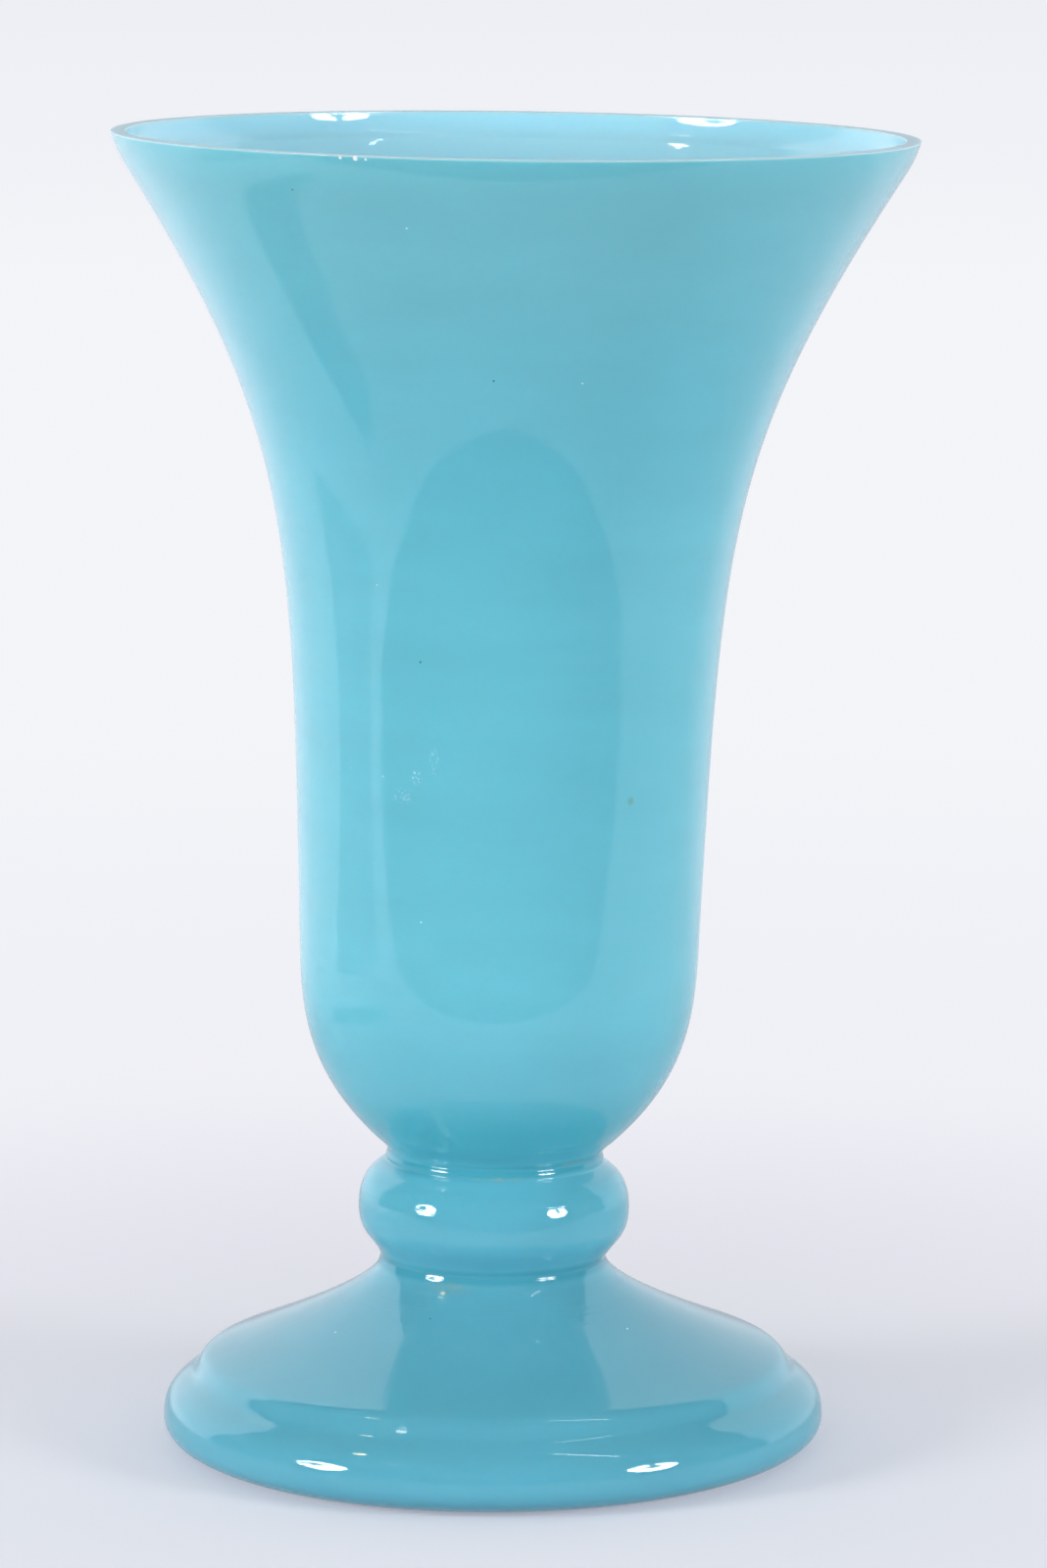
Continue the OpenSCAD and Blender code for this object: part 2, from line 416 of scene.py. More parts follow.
class Nodes:
    """The nodes of a material or a world, with short ways to make and join them."""

    # The Mix node has sockets for each kind of value, and these are the ones for its share and its colours
    MIX_SOCKETS = (0, 6, 7)
    MIX_RESULT = 2

    def __init__(self, owner, output_kind):
        owner.use_nodes = True
        self.owner = owner
        self.tree = owner.node_tree
        self.tree.nodes.clear()
        self.output = self.node(output_kind)

    def node(self, kind, **settings):
        made = self.tree.nodes.new(kind)
        for key, value in settings.items():
            setattr(made, key, value)
        return made

    def put(self, socket, value):
        if isinstance(value, bpy.types.NodeSocket):
            self.tree.links.new(value, socket)
        else:
            socket.default_value = value

    def filled(self, kind, *values, **settings):
        """A node whose first sockets hold these values."""
        made = self.node(kind, **settings)
        for socket, value in zip(made.inputs, values):
            self.put(socket, value)
        return made

    def show(self, shader):
        """Sends a shader node to the output."""
        self.put(self.output.inputs["Surface"], shader.outputs[0])

    def math(self, operation, *values):
        return self.filled("ShaderNodeMath", *values, operation=operation).outputs[0]

    def plus(self, a, b):
        return self.math("ADD", a, b)

    def minus(self, a, b):
        return self.math("SUBTRACT", a, b)

    def times(self, a, b):
        return self.math("MULTIPLY", a, b)

    def larger(self, a, b):
        return self.math("MAXIMUM", a, b)

    def size(self, value):
        return self.math("ABSOLUTE", value)

    def length(self, a, b):
        return self.math("SQRT", self.plus(self.times(a, a), self.times(b, b)))

    def less(self, whole, loss, share):
        """The whole, less a loss where the share is 1."""
        return self.times(whole, self.minus(1.0, self.times(loss, share)))

    def ramp(self, value, low, high, kind="SMOOTHSTEP"):
        """0 below low, 1 above high."""
        made = self.filled("ShaderNodeMapRange", value, low, high, interpolation_type=kind)
        return made.outputs["Result"]

    def past(self, value, edge, soft):
        """0 before an edge and 1 past it, with a soft change."""
        return self.ramp(value, edge - soft / 2, edge + soft / 2)

    def between(self, value, low, high, soft):
        """1 between low and high, with soft edges."""
        return self.times(self.past(value, low, soft), self.past(value, high, -soft))

    def mix(self, share, a, b, blend="MIX"):
        made = self.node("ShaderNodeMix", data_type="RGBA", blend_type=blend)
        for socket, value in zip(self.MIX_SOCKETS, (share, a, b)):
            self.put(made.inputs[socket], value)
        return made.outputs[self.MIX_RESULT]

    def dimmed(self, colour, level):
        """The colour at this level of brightness."""
        return self.mix(1.0, colour, self.join(level, level, level), "MULTIPLY")

    def stops(self, value, shades):
        """Colours that follow a value from one stop to the next."""
        low, high = shades[0][0], shades[-1][0]
        made = self.node("ShaderNodeValToRGB")
        made.color_ramp.interpolation = "EASE"
        elements = made.color_ramp.elements
        while len(elements) < len(shades):
            elements.new(0.5)
        for element, (at, colour) in zip(elements, shades):
            element.position = (at - low) / (high - low)
            element.color = (*colour, 1.0)
        self.put(made.inputs[0], self.ramp(value, low, high, kind="LINEAR"))
        return made.outputs[0]

    def measured(self, vector, sizes):
        """The vector measured in these sizes, in millimetres, along x, y and z."""
        metres = [size * MM for size in sizes]
        return self.filled("ShaderNodeVectorMath", vector, metres, operation="DIVIDE").outputs[0]

    def noise(self, vector, sizes, detail=1.0):
        """Noise from about 0.2 to 0.8, whose blobs have these sizes in millimetres along x, y and z."""
        made = self.node("ShaderNodeTexNoise")
        made.inputs["Scale"].default_value = 1.0
        made.inputs["Detail"].default_value = detail
        self.put(made.inputs["Vector"], self.measured(vector, sizes))
        return made.outputs["Fac"]

    def blob(self, vector, middle, sizes, core=0.5):
        """1 in the core of an ellipsoid at this place in millimetres, falling to 0 at its surface."""
        metres = [part * MM for part in middle]
        off = self.filled("ShaderNodeVectorMath", vector, metres, operation="SUBTRACT").outputs[0]
        length = self.filled("ShaderNodeVectorMath", self.measured(off, sizes), operation="LENGTH")
        return self.ramp(length.outputs["Value"], 1.0, core)

    def split(self, vector):
        return self.filled("ShaderNodeSeparateXYZ", vector).outputs

    def join(self, x, y, z):
        return self.filled("ShaderNodeCombineXYZ", x, y, z).outputs[0]

    def attribute(self, name):
        return self.node("ShaderNodeAttribute", attribute_name=name).outputs["Fac"]


def material(name):
    return Nodes(bpy.data.materials.new(name), "ShaderNodeOutputMaterial")


# Turquoise opaline glass: milky all through and glossy outside. It is deeper in colour where it is thick,
# and paler in the thin bowl. The deeper colour at the foot's lower edge is partly painted shade there, and
# the paler bowl is partly painted light that comes through its thin wall. Heights are in millimetres above
# the table
GLASS_SHADES = (
    (0.0, (0.086, 0.350, 0.455)),
    (9.0, (0.118, 0.428, 0.545)),
    (40.0, (0.118, 0.428, 0.545)),
    (52.0, (0.132, 0.466, 0.584)),
    (66.0, (0.118, 0.466, 0.584)),
    (76.0, (0.095, 0.475, 0.58)),
    (90.0, (0.150, 0.525, 0.64)),
    (112.0, (0.176, 0.575, 0.69)),
    (190.0, (0.170, 0.570, 0.685)),
    (235.0, (0.158, 0.552, 0.67)),
    (300.0, (0.195, 0.590, 0.69)),
)
# The inside of the bowl is paler, and the rim's flat top is ground dull
INSIDE_SHADE = (0.435, 0.79, 0.915, 1.0)
GROUND_SHADE = (0.50, 0.72, 0.81, 1.0)
# Faint streaks of a paler and a deeper melt, with their sizes in millimetres
STREAKS = (30.0, 30.0, 9.0)
STREAK_DEPTH = 0.10
# The pieces are one melt: at a joint no light may end in the hidden faces between two pieces. So the
# scattering inside fades out there, and the colour in two creases is painted darker: painted shade in the
# creases. The upper one's painted shade is darkest a little below its joint. Reaches are in millimetres
JOINT_HEIGHTS = (FOOT_HEIGHT, FOOT_HEIGHT + KNOP_HEIGHT, FOOT_HEIGHT + BOWL_BASE)
JOINT_REACH = (0.8, 2.6)
UPPER_CREASE_DROP = 0.2
PAINTED_SHADE_CREASES = (FOOT_HEIGHT, FOOT_HEIGHT + BOWL_BASE - UPPER_CREASE_DROP)
PAINTED_SHADE_REACH = (0.8, 2.3)
PAINTED_CREASE_SHADE = (0.50, 0.75, 0.78, 1.0)
glass = material("opaline_glass")
position = glass.node("ShaderNodeTexCoord").outputs["Object"]
above_table = glass.math("DIVIDE", glass.split(position)[2], MM)
inside = glass.attribute("inside")
ground = glass.attribute("ground")


def clear_of(heights, reach):
    """0 at these heights, rising to 1 away from them."""
    clear = 1.0
    for height in heights:
        off = glass.size(glass.minus(above_table, height))
        clear = glass.math("MINIMUM", clear, glass.ramp(off, *reach))
    return clear


# The glass's colour: its melt and streaks, with painted shade at the foot's edge and in two creases, and
# painted light in the thin bowl
def melt_colour_and_painted_shade():
    melt = glass.noise(position, STREAKS, detail=3.0)
    level = glass.plus(1.0 - STREAK_DEPTH / 2, glass.times(melt, STREAK_DEPTH))
    colour = glass.dimmed(glass.stops(above_table, GLASS_SHADES), level)
    crease_shaded = glass.mix(1.0, colour, PAINTED_CREASE_SHADE, "MULTIPLY")
    colour = glass.mix(clear_of(PAINTED_SHADE_CREASES, PAINTED_SHADE_REACH), crease_shaded, colour)
    colour = glass.mix(inside, colour, INSIDE_SHADE)
    return glass.mix(ground, colour, GROUND_SHADE)


# Small bubbles and dust: some cells of a grid, in millimetres, have one dot, and half of the dots are pale
DOT_CELL = (9.0, 9.0, 9.0)
DOT_EDGE = (0.036, 0.020)
DOT_SHARE = 0.45
PALE_SHARE = 0.5
PALE_DOT = (0.62, 0.86, 0.92, 1.0)
DARK_DOT = (0.05, 0.17, 0.20, 1.0)


def with_dots(colour):
    cells = glass.node("ShaderNodeTexVoronoi")
    cells.inputs["Scale"].default_value = 1.0
    glass.put(cells.inputs["Vector"], glass.measured(position, DOT_CELL))
    pick, tone, _ = glass.split(cells.outputs["Color"])
    has_dot = glass.math("LESS_THAN", pick, DOT_SHARE)
    dot = glass.times(glass.ramp(cells.outputs["Distance"], *DOT_EDGE), has_dot)
    dot_colour = glass.mix(glass.math("GREATER_THAN", tone, PALE_SHARE), PALE_DOT, DARK_DOT)
    return glass.mix(dot, colour, dot_colour)


# Dirt in the creases, broken up by a grain. Each place has its middle and sizes in millimetres, and how
# strong it is. The core is the share of its size where it is at its full strength
DIRT = (0.20, 0.36, 0.36, 1.0)
DIRT_GRAIN = (1.1, 1.1, 0.4)
DIRT_BREAK = (0.36, 0.62)
DIRT_CORE = 0.2
DIRTY_PLACES = (
    ((-10.5, -25.0, 41.2), (7.5, 6.0, 2.0), 0.75),
    ((1.5, -24.8, 66.2), (8.0, 5.0, 0.9), 0.65),
    ((18.5, -17.0, 68.6), (6.5, 6.0, 0.9), 0.85),
    ((-7.0, 24.0, 66.3), (9.0, 6.0, 0.9), 0.6),
    ((22.0, 12.0, 42.6), (7.0, 7.0, 1.4), 0.6),
)
# Scuffs on the bowl's side, in the same form
SCUFF = (0.62, 0.86, 0.93, 1.0)
SCUFF_GRAIN = (0.55, 0.55, 0.8)
SCUFF_BREAK = (0.50, 0.62)
SCUFF_CORE = 0.3
SCUFFS = (
    ((-23.9, -39.1, 160.3), (0.55, 1.5, 0.6), 0.9),
    ((-16.7, -43.1, 160.9), (1.7, 2.0, 2.1), 0.9),
    ((-12.6, -44.7, 164.6), (1.4, 2.0, 3.8), 0.45),
    ((-19.6, -41.5, 156.6), (4.2, 3.0, 2.4), 0.30),
    ((-31.5, -34.0, 161.5), (0.7, 2.0, 3.6), 0.35),
)
# Small chips along the rim's front edge: the middle and the size of each, in millimetres
CHIP = (0.93, 0.97, 1.0, 1.0)
CHIPS = (
    ((-31.9, -82.8, 299.9), 0.55),
    ((-28.6, -84.0, 299.9), 0.70),
    ((-26.3, -84.6, 299.8), 0.45),
    ((21.5, -87.9, 299.4), 0.40),
    ((34.7, -84.4, 299.2), 0.50),
    ((55.6, -72.6, 298.9), 0.45),
    ((80.0, -40.5, 298.6), 0.40),
)
# A speck in the bowl's side: its place and sizes in millimetres, and how strong it is
SPECK = (0.17, 0.40, 0.33, 1.0)
SPECK_AT = (30.8, -37.3, 154.7)
SPECK_SIZES = (0.95, 1.5, 1.15)
SPECK_STRENGTH = 0.6


def broken(places, grain_sizes, grain_break, core):
    """How strong each of these marks is, broken up by a grain."""
    grain = glass.ramp(glass.noise(position, grain_sizes, detail=2.0), *grain_break)
    for middle, sizes, strength in places:
        yield glass.times(glass.blob(position, middle, sizes, core), glass.times(grain, strength))


def scuffing():
    """How scuffed the surface is, from 0 to 1."""
    most = 0.0
    for scuff in broken(SCUFFS, SCUFF_GRAIN, SCUFF_BREAK, SCUFF_CORE):
        most = glass.larger(most, scuff)
    return most


scuffed = scuffing()


def with_marks(colour):
    """The colour with the dirt, scuffs, chips and speck over it."""
    for dirt in broken(DIRTY_PLACES, DIRT_GRAIN, DIRT_BREAK, DIRT_CORE):
        colour = glass.mix(dirt, colour, DIRT)
    colour = glass.mix(scuffed, colour, SCUFF)
    for middle, size in CHIPS:
        colour = glass.mix(glass.blob(position, middle, (size, size, size)), colour, CHIP)
    speck = glass.times(glass.blob(position, SPECK_AT, SPECK_SIZES), SPECK_STRENGTH)
    return glass.mix(speck, colour, SPECK)


# It is dull where it is ground or scuffed, and a little where it was handled, in patches of this size
SHINE = 0.03
GROUND_DULLNESS = 0.40
HANDLING_DULLNESS = 0.02
HANDLED_PATCHES = (45.0, 45.0, 30.0)
HANDLED_BREAK = (0.45, 0.75)


def dullness():
    handled = glass.ramp(glass.noise(position, HANDLED_PATCHES, detail=4.0), *HANDLED_BREAK)
    dull = glass.plus(SHINE, glass.times(handled, HANDLING_DULLNESS))
    return glass.plus(dull, glass.times(glass.larger(ground, scuffed), GROUND_DULLNESS))


# The glass was turned against a tool: fine level ripples, strongest beside the joints, over a slight grain
# and waviness. Sizes and depths are in millimetres, and the shares give the ripples' depth at each height
RIPPLES = (26.0, 26.0, 0.75)
RIDGE = (0.50, 0.72)
RIPPLE_DEPTH = 0.035
RIPPLE_SHARES = (
    (0.0, 0.03),
    (29.0, 0.03),
    (33.0, 0.35),
    (37.0, 1.0),
    (42.0, 0.9),
    (46.0, 0.15),
    (57.0, 0.10),
    (62.0, 0.7),
    (65.0, 0.12),
    (68.5, 0.12),
    (72.0, 1.0),
    (77.0, 0.25),
    (84.0, 0.04),
    (300.0, 0.04),
)
GRAIN = (6.0, 6.0, 2.6)
GRAIN_DEPTH = 0.02
WAVES = (42.0, 42.0, 34.0)
WAVE_DEPTH = 0.22


def relief():
    """The height of the surface's relief, in millimetres."""
    greys = [(height, (share, share, share)) for height, share in RIPPLE_SHARES]
    share_here = glass.split(glass.stops(above_table, greys))[0]
    ridges = glass.ramp(glass.noise(position, RIPPLES, detail=2.0), *RIDGE)
    ripples = glass.times(glass.times(ridges, RIPPLE_DEPTH), share_here)
    grained = glass.plus(ripples, glass.times(glass.noise(position, GRAIN), GRAIN_DEPTH))
    return glass.plus(grained, glass.times(glass.noise(position, WAVES), WAVE_DEPTH))


# How far light spreads in the glass, in millimetres, and the shares of it for red, green and blue
SCATTER_DEPTH = 1.8
SCATTER_SHARES = (1.2, 1.0, 0.95)
GLASS_IOR = 1.5
bump = glass.node("ShaderNodeBump")
bump.inputs["Strength"].default_value = 1.0
bump.inputs["Distance"].default_value = MM
glass.put(bump.inputs["Height"], relief())
skin_shader = glass.node("ShaderNodeBsdfPrincipled")
skin_shader.inputs["IOR"].default_value = GLASS_IOR
skin_shader.inputs["Subsurface Radius"].default_value = SCATTER_SHARES
skin_shader.inputs["Subsurface Scale"].default_value = SCATTER_DEPTH * MM
glass.put(skin_shader.inputs["Subsurface Weight"], clear_of(JOINT_HEIGHTS, JOINT_REACH))
glass.put(skin_shader.inputs["Base Color"], with_marks(with_dots(melt_colour_and_painted_shade())))
glass.put(skin_shader.inputs["Roughness"], dullness())
glass.put(skin_shader.inputs["Normal"], bump.outputs[0])
glass.show(skin_shader)

pieces = ((foot_piece, "foot"), (knop_piece, "knop"), (wafer_piece, "joining_wafer"), (bowl_piece, "bowl"))
for piece, node in pieces:
    piece.data.materials.append(glass.owner)
    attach(piece, "root")
    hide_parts(node)

# Floor: a pale sheet that reaches past every view. For reflections it ends in front of the vase, where the
# studio table ends. Lengths from here on are in metres
FLOOR_REACH = 40.0
TABLE_FRONT = -0.29
FLOOR_COLOUR = (0.80, 0.805, 0.865, 1.0)
SEEN_FLOOR_COLOUR = (0.97, 0.97, 1.0, 1.0)
PAST_TABLE_COLOUR = (0.03, 0.03, 0.03, 1.0)
# How the sheet looks to the camera, by distance from near the vase out to the horizon. It is darker near the
# vase: painted shade round the vase
SHEET_SHADES = (
    (0.0, (0.74, 0.76, 0.92)),
    (0.15, (0.85, 0.845, 0.94)),
    (0.5, (0.87, 0.875, 0.92)),
    (1.2, (0.90, 0.91, 0.945)),
    (3.0, (0.90, 0.91, 0.945)),
    (5.0, (0.87, 0.88, 0.92)),
    (8.0, (0.85, 0.86, 0.90)),
)
# The sheet is partly lit and partly glows. The glow's share at the vase grows to 1 over this span of
# distance, so that the vase keeps its shadow
SHEET_GLOW = 0.36
GLOW_SPAN = (0.08, 0.45)
# What reflections show of the sheet: it is brightest on the left, falls off near the vase and towards its
# right side, is as pale as the background straight behind, and has two dark patches on its left side.
# Each loss of brightness grows from none at the first value of its span to the whole loss at the second.
# The span behind is of the angle off straight behind, and the others are of distance, x or y
REFLECTED_SHEET = (1.22, 1.27, 1.38, 1.0)
BEHIND_LOSS = 0.26
BEHIND_SPAN = (math.radians(35), math.radians(10))
NEAR_LOSS = 0.39
NEAR_SPAN = (0.74, 0.28)
RIGHT_HALF_LOSS = 0.22
RIGHT_HALF_SPAN = (0.10, 0.30)
RIGHT_SIDE_LOSS = 0.38
RIGHT_SIDE_SPAN = (0.30, 0.75)
RIGHT_SIDE_BACK_SPAN = (0.60, 0.30)
# The left side, right side, front, back and loss of each dark patch
DARK_PATCHES = ((-1.10, -0.54, -0.19, 0.15, 0.60), (-0.362, -0.29, -0.14, 0.12, 0.95))
DARK_PATCH_EDGE = 0.012
SQUARE = ((-1, -1), (1, -1), (1, 1), (-1, 1))


def flat_object(name, corners):
    """An object of one flat face with these corners, which faces along its own z axis."""
    mesh = bpy.data.meshes.new(name)
    mesh.from_pydata([(x, y, 0.0) for x, y in corners], [], [tuple(range(len(corners)))])
    return added(name, mesh)


floor = flat_object("floor", [(x * FLOOR_REACH, y * FLOOR_REACH) for x, y in SQUARE])
sheet = material("floor")
sheet_x, sheet_y, _ = sheet.split(sheet.node("ShaderNodeNewGeometry").outputs["Position"])
from_middle = sheet.length(sheet_x, sheet_y)
sheet_rays = sheet.node("ShaderNodeLightPath").outputs
to_camera = sheet_rays["Is Camera Ray"]


def reflected_level():
    """How bright reflections show the sheet."""
    off_back = sheet.math("ARCTAN2", sheet.size(sheet_x), sheet_y)
    level = sheet.less(1.0, BEHIND_LOSS, sheet.ramp(off_back, *BEHIND_SPAN))
    level = sheet.less(level, NEAR_LOSS, sheet.ramp(from_middle, *NEAR_SPAN))
    level = sheet.less(level, RIGHT_HALF_LOSS, sheet.ramp(sheet_x, *RIGHT_HALF_SPAN))
    on_right = sheet.ramp(sheet_x, *RIGHT_SIDE_SPAN)
    not_at_back = sheet.ramp(sheet_y, *RIGHT_SIDE_BACK_SPAN)
    level = sheet.less(level, RIGHT_SIDE_LOSS, sheet.times(on_right, not_at_back))
    for left, right, front, back, loss in DARK_PATCHES:
        across = sheet.between(sheet_x, left, right, DARK_PATCH_EDGE)
        along = sheet.between(sheet_y, front, back, DARK_PATCH_EDGE)
        level = sheet.less(level, loss, sheet.times(across, along))
    return level


past_table = sheet.times(sheet.math("LESS_THAN", sheet_y, TABLE_FRONT), sheet.minus(1.0, to_camera))
lit_colour = sheet.mix(to_camera, FLOOR_COLOUR, SEEN_FLOOR_COLOUR)
lit_part = sheet.node("ShaderNodeBsdfDiffuse")
sheet.put(lit_part.inputs["Color"], sheet.mix(past_table, lit_colour, PAST_TABLE_COLOUR))
glow_colour = sheet.mix(to_camera, REFLECTED_SHEET, sheet.stops(from_middle, SHEET_SHADES))
glowing_part = sheet.node("ShaderNodeEmission")
sheet.put(glowing_part.inputs["Color"], glow_colour)
sheet.put(glowing_part.inputs["Strength"], sheet.larger(to_camera, reflected_level()))
grown = sheet.times(sheet.ramp(from_middle, *GLOW_SPAN), 1.0 - SHEET_GLOW)
glow_share = sheet.times(sheet.plus(SHEET_GLOW, grown), sheet.minus(1.0, past_table))
in_glass = sheet.larger(sheet_rays["Is Glossy Ray"], sheet_rays["Is Transmission Ray"])
glow_seen = sheet.times(glow_share, sheet.larger(to_camera, in_glass))
sheet.show(sheet.filled("ShaderNodeMixShader", glow_seen, lit_part.outputs[0], glowing_part.outputs[0]))
floor.data.materials.append(sheet.owner)

# Studio: light from the walls of a white tent. It is dim overhead and dim towards the camera, and a dim
# band stands on its left side. Turns are in degrees from the front, and heights are sines of elevations
BACKDROP = (0.90, 0.91, 0.945, 1.0)
TENT_WALLS = (0.33, 0.33, 0.34, 1.0)
TENT_BACK = (0.85, 0.855, 0.87, 1.0)
TENT_BAND = (0.30, 0.30, 0.31, 1.0)
TENT_CEILING = (0.24, 0.24, 0.25, 1.0)
TENT_OPENING = (0.23, 0.23, 0.235, 1.0)
BACK_TURNS = (95.0, 130.0)
BAND_RISE = (78.0, 80.0)
BAND_FALL = (112.0, 100.0)
CEILING_HEIGHTS = (math.sin(math.radians(46)), math.sin(math.radians(58)))
OPENING_TURN = 71.3
# Reflections show a white wall behind the vase instead, and dark elsewhere: the slope up to the wall's
# level top edge, the turns to its two ends, and how bright it is from straight left, 0, to straight right, 1
REFLECTED_DARK = (0.08, 0.08, 0.085, 1.0)
REFLECTED_WALL = (0.97, 1.015, 1.10, 1.0)
WALL_TOP = math.tan(math.radians(57.7))
WALL_TOP_EDGE = 0.03
WALL_LEFT_END = 115.0
WALL_RIGHT_END = 110.0
WALL_END_EDGE = 4.0
WALL_LEVELS = ((0.0, 1.5), (0.22, 1.5), (0.35, 1.4), (0.46, 1.0), (0.55, 0.98), (0.7, 1.12), (1.0, 1.05))
studio = Nodes(bpy.data.worlds.new("studio"), "ShaderNodeOutputWorld")
bpy.context.scene.world = studio.owner
sky_x, sky_y, sky_z = studio.split(studio.node("ShaderNodeTexCoord").outputs["Generated"])
rightward = studio.math("DEGREES", studio.math("ARCTAN2", sky_x, studio.times(sky_y, -1.0)))
leftward = studio.times(rightward, -1.0)
off_front = studio.size(rightward)


def tent_light():
    """The light that the tent sheds."""
    band = studio.times(studio.ramp(leftward, *BAND_RISE), studio.ramp(leftward, *BAND_FALL))
    shown = studio.mix(studio.ramp(off_front, *BACK_TURNS), TENT_WALLS, TENT_BACK)
    shown = studio.mix(band, shown, TENT_BAND)
    shown = studio.mix(studio.ramp(sky_z, *CEILING_HEIGHTS), shown, TENT_CEILING)
    return studio.mix(studio.math("LESS_THAN", off_front, OPENING_TURN), shown, TENT_OPENING)


def wall_level():
    """How bright the wall is from left to right."""
    half_turns = studio.math("DIVIDE", studio.math("ARCTAN2", sky_x, sky_y), math.pi)
    curve_node = studio.node("ShaderNodeFloatCurve")
    points = curve_node.mapping.curves[0].points
    for _ in WALL_LEVELS[2:]:
        points.new(0.5, 0.5)
    highest = max(level for _, level in WALL_LEVELS)
    for point, (at, level) in zip(points, WALL_LEVELS):
        point.location = (at, level / highest)
    curve_node.mapping.update()
    studio.put(curve_node.inputs["Value"], studio.plus(half_turns, 0.5))
    return studio.times(curve_node.outputs[0], highest)


def reflected_studio():
    """What reflections show of the studio."""
    under_top = studio.past(studio.minus(studio.times(sky_y, WALL_TOP), sky_z), 0.0, WALL_TOP_EDGE)
    past_left_end = studio.past(leftward, WALL_LEFT_END, WALL_END_EDGE)
    past_right_end = studio.past(rightward, WALL_RIGHT_END, WALL_END_EDGE)
    on_wall = studio.times(under_top, studio.larger(past_left_end, past_right_end))
    return studio.mix(on_wall, REFLECTED_DARK, studio.dimmed(REFLECTED_WALL, wall_level()))


studio_rays = studio.node("ShaderNodeLightPath").outputs
studio_light = studio.mix(studio_rays["Is Glossy Ray"], tent_light(), reflected_studio())
background = studio.node("ShaderNodeBackground")
studio.put(background.inputs["Color"], studio.mix(studio_rays["Is Camera Ray"], studio_light, BACKDROP))
studio.show(background)

# Lamps: two round ones far off beside the camera, and a low wide one in front. Each has its shape, its turn
# from the front and its elevation as seen from the vase, its width and height, all in degrees, and its
# radiance
LAMP_DISTANCE = 2.5
AIM = Vector((0, 0, 0.06))
LAMPS = (
    ("left", "DISK", -61.0, 15.0, 20.0, 20.0, 20.0),
    ("right", "DISK", 57.0, 14.0, 19.0, 19.0, 18.0),
    ("front", "RECTANGLE", 0.0, 9.0, 44.0, 14.0, 4.5),
)
# Reflections show each round lamp as a bright disc with a dark head before it, and a dark arm from the head
# to the disc's edge: where the head is and which way the arm goes, and how wide both are, in shares of the
# disc's radius
DISC_BRIGHTNESS = 24.0
LAMP_HEADS = {"left": ((-0.26, 0.16), (-0.9, -0.44)), "right": ((0.02, 0.14), (0.1, 1.0))}
HEAD_SIZE = (0.34, 0.24)
ARM_WIDTH = (0.16, 0.08)
DISC_CORNERS = 48
# Small lights in the room, which only reflections show: turn, elevation, width, height and tilt in degrees,
# brightness and colour
ROOM_LIGHTS = (
    (-78.0, 60.0, 3.4, 3.4, 0.0, 18.0, (1.0, 0.76, 0.42, 1.0)),
    (-42.4, 45.6, 3.2, 1.3, 0.0, 11.0, (1.0, 1.0, 0.96, 1.0)),
    (72.6, 68.1, 22.0, 1.3, 77.3, 10.0, (0.92, 0.98, 1.0, 1.0)),
)


def spanning(angle):
    """The width in metres that spans this angle at the lamps' distance."""
    return 2 * LAMP_DISTANCE * math.tan(math.radians(angle / 2))


def hang(thing, turn, elevation, tilt=0.0):
    """Puts a lamp in its place, facing the vase."""
    turn, elevation = math.radians(turn), math.radians(elevation)
    level = math.cos(elevation)
    direction = Vector((math.sin(turn) * level, -math.cos(turn) * level, math.sin(elevation)))
    thing.location = AIM + direction * LAMP_DISTANCE
    thing.rotation_mode = "QUATERNION"
    facing = direction.to_track_quat("Z", "Y")
    thing.rotation_quaternion = facing @ Quaternion((0, 0, 1), math.radians(tilt))


def only_reflected(thing):
    """Makes a thing of the stage that only reflections show."""
    for seen in ("visible_camera", "visible_diffuse", "visible_shadow", "visible_transmission"):
        setattr(thing, seen, False)


def area_light(name, shape, turn, elevation, width, height, radiance):
    """A lamp that lights the vase and that reflections don't show."""
    data = bpy.data.lights.new(name, "AREA")
    data.shape = shape
    data.size, data.size_y = spanning(width), spanning(height)
    filled = math.pi / 4 if shape == "DISK" else 1.0
    data.energy = radiance * math.pi * data.size * data.size_y * filled
    light = added(name, data)
    hang(light, turn, elevation)
    light.visible_glossy = False
    light.visible_camera = False


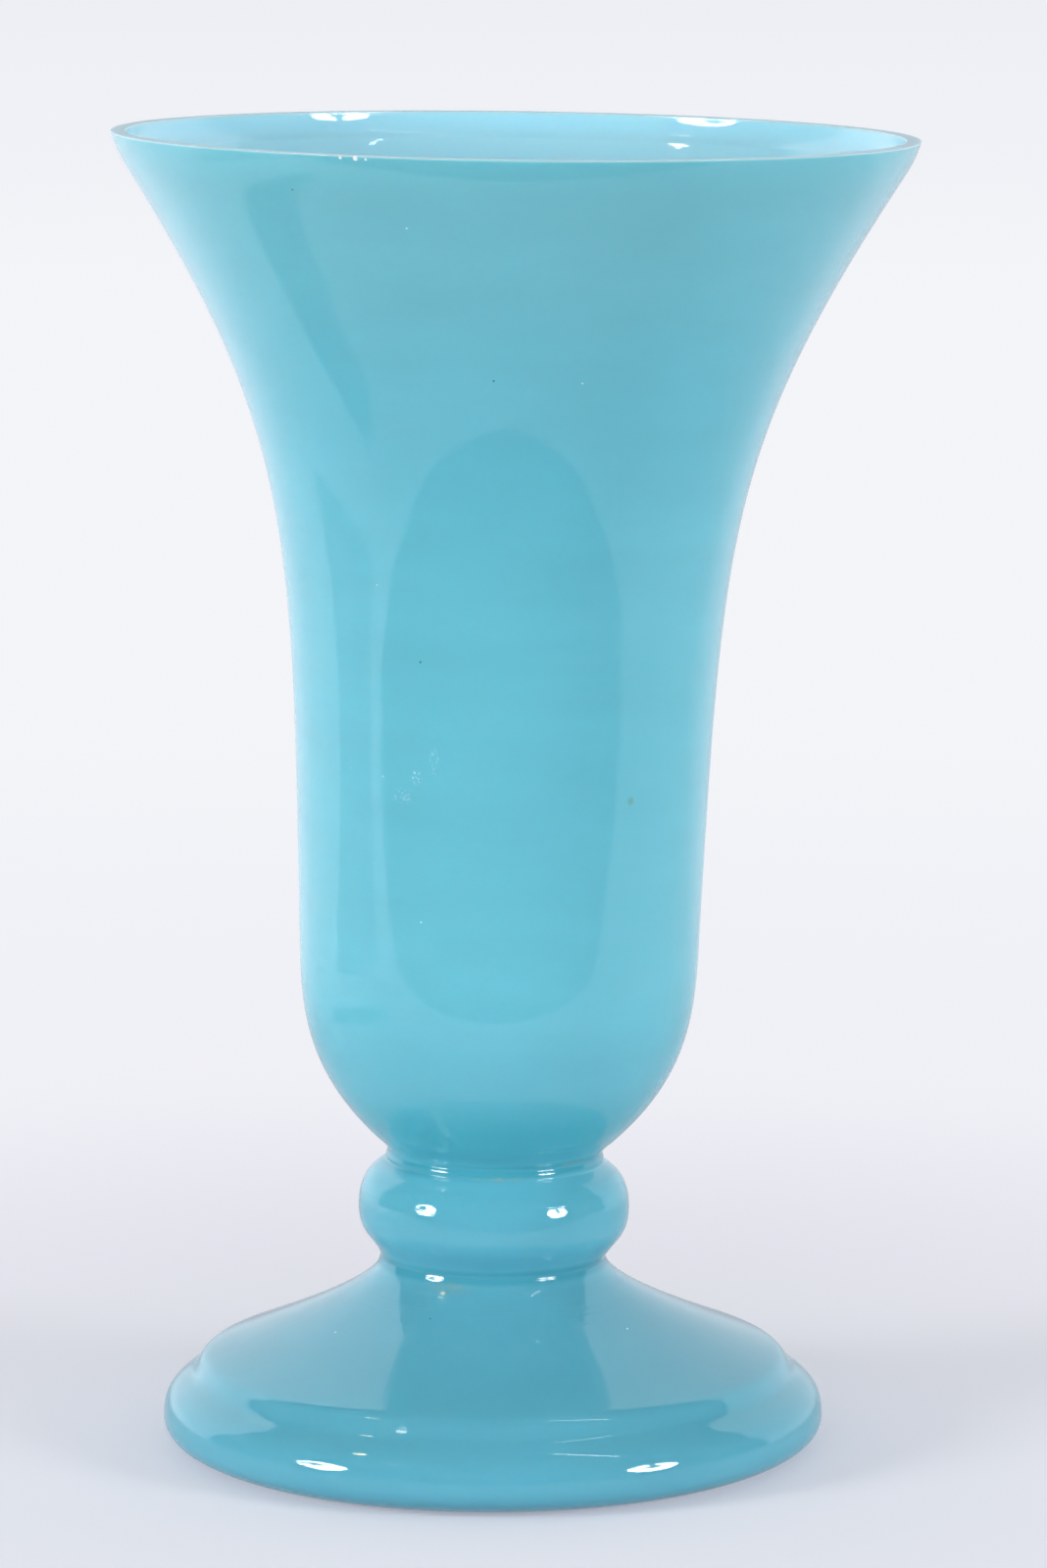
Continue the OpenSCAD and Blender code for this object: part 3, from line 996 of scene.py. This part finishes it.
def lamp_disc(name, turn, elevation, width, head, arm):
    """What reflections show of a round lamp."""
    radius = spanning(width) / 2
    angles = [2 * math.pi * i / DISC_CORNERS for i in range(DISC_CORNERS)]
    disc = flat_object(name, [(radius * math.cos(angle), radius * math.sin(angle)) for angle in angles])
    hang(disc, turn, elevation)
    only_reflected(disc)
    face = material(name)
    face_x, face_y, _ = face.split(face.node("ShaderNodeTexCoord").outputs["Object"])
    head_x = face.minus(face.math("DIVIDE", face_x, radius), head[0])
    head_y = face.minus(face.math("DIVIDE", face_y, radius), head[1])
    arm = Vector(arm).normalized()
    along = face.plus(face.times(head_x, arm.x), face.times(head_y, arm.y))
    aside = face.minus(face.times(head_x, arm.y), face.times(head_y, arm.x))
    in_head = face.ramp(face.length(along, aside), *HEAD_SIZE)
    in_arm = face.times(face.ramp(face.size(aside), *ARM_WIDTH), face.math("GREATER_THAN", along, 0.0))
    lit = face.minus(1.0, face.larger(in_head, in_arm))
    glow = face.node("ShaderNodeEmission")
    face.put(glow.inputs["Strength"], face.times(lit, DISC_BRIGHTNESS))
    face.show(glow)
    disc.data.materials.append(face.owner)


def room_light(name, turn, elevation, width, height, tilt, brightness, colour):
    half_width, half_height = spanning(width) / 2, spanning(height) / 2
    card = flat_object(name, [(x * half_width, y * half_height) for x, y in SQUARE])
    hang(card, turn, elevation, tilt)
    only_reflected(card)
    face = material(name)
    glow = face.node("ShaderNodeEmission")
    glow.inputs["Color"].default_value = colour
    glow.inputs["Strength"].default_value = brightness
    face.show(glow)
    card.data.materials.append(face.owner)


for side, *facts in LAMPS:
    area_light(side + "_light", *facts)
for side, _, turn, elevation, width, _, _ in LAMPS:
    if side in LAMP_HEADS:
        lamp_disc(side + "_lamp", turn, elevation, width, *LAMP_HEADS[side])
for number, facts in enumerate(ROOM_LIGHTS):
    room_light(f"room_light_{number}", *facts)

# Camera, fitted to the photograph: the lens comes from its focal length in pixels of the photograph. The
# lens and the sensor are in millimetres
PHOTO_HEIGHT = 1600
FOCAL_PIXELS = 6999.0
SENSOR_WIDTH = 36.0
CAMERA_AT = (7.04 * MM, -1539.5 * MM, 392.81 * MM)
CAMERA_PITCH = math.radians(8.863)
NEAREST_SEEN = 0.1
FARTHEST_SEEN = 100.0
camera_data = bpy.data.cameras.new("camera")
camera_data.sensor_width = SENSOR_WIDTH
camera_data.lens = FOCAL_PIXELS / PHOTO_HEIGHT * SENSOR_WIDTH
camera_data.clip_start = NEAREST_SEEN
camera_data.clip_end = FARTHEST_SEEN
camera = added("camera", camera_data)
tipped_up = Matrix.Rotation(math.radians(90) - CAMERA_PITCH, 4, "X")
camera.matrix_world = Matrix.Translation(CAMERA_AT) @ tipped_up
bpy.context.scene.camera = camera

bpy.context.scene.view_settings.view_transform = "Standard"
